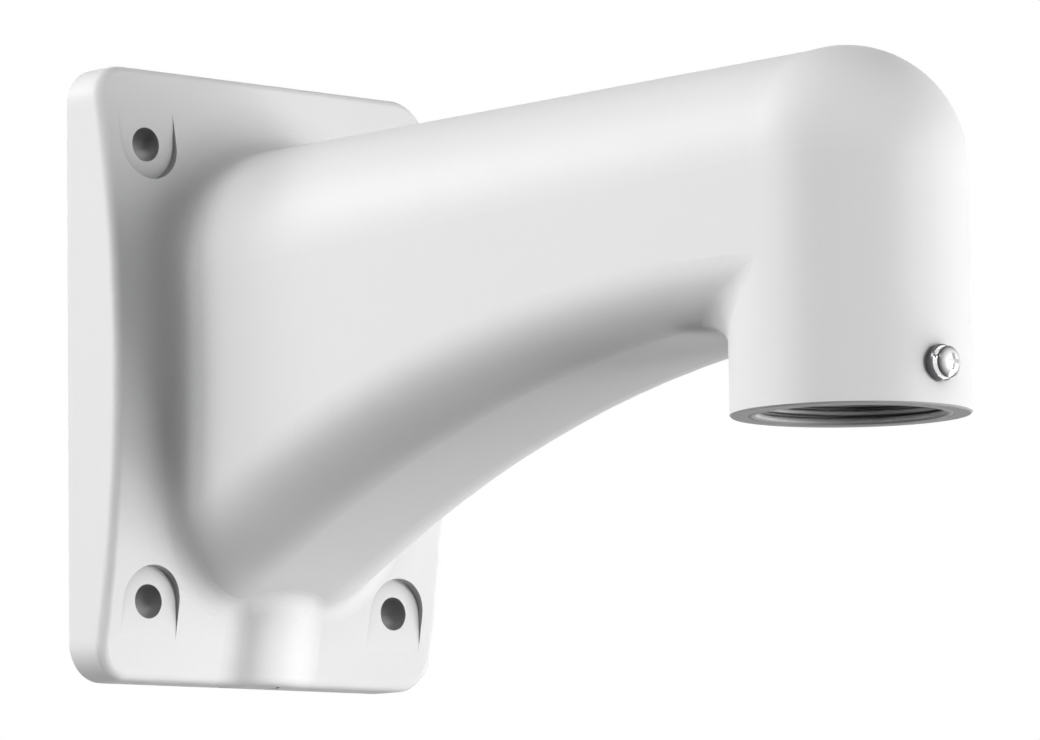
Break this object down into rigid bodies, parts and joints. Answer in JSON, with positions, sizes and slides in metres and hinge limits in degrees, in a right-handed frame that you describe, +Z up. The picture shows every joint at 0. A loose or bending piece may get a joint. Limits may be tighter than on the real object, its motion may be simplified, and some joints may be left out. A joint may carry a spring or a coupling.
{
  "type": "camera wall bracket",
  "caption": "White die-cast wall bracket for a hanging camera: crowned plate with screw seats, hollow tapering arm, round elbow and downward threaded spigot with a lock screw",
  "frame": {"origin": "middle of the plate's back face, in the plane of the wall", "axes": "+X straight out of the wall along the arm, +Y across the wall, +Z up; the spigot's axis is vertical at X = 227.7 mm"},
  "size_m": [0.2618, 0.1152, 0.1616],
  "materials": {
    "casting": "satin white powder coat on an aluminium casting",
    "plated_steel": "bright zinc-plated steel"
  },
  "bodies": {
    "root": {"bracket_casting": "casting", "flat_washer": "plated_steel", "spring_washer": "plated_steel", "lock_screw": "plated_steel"}
  },
  "joints": []
}
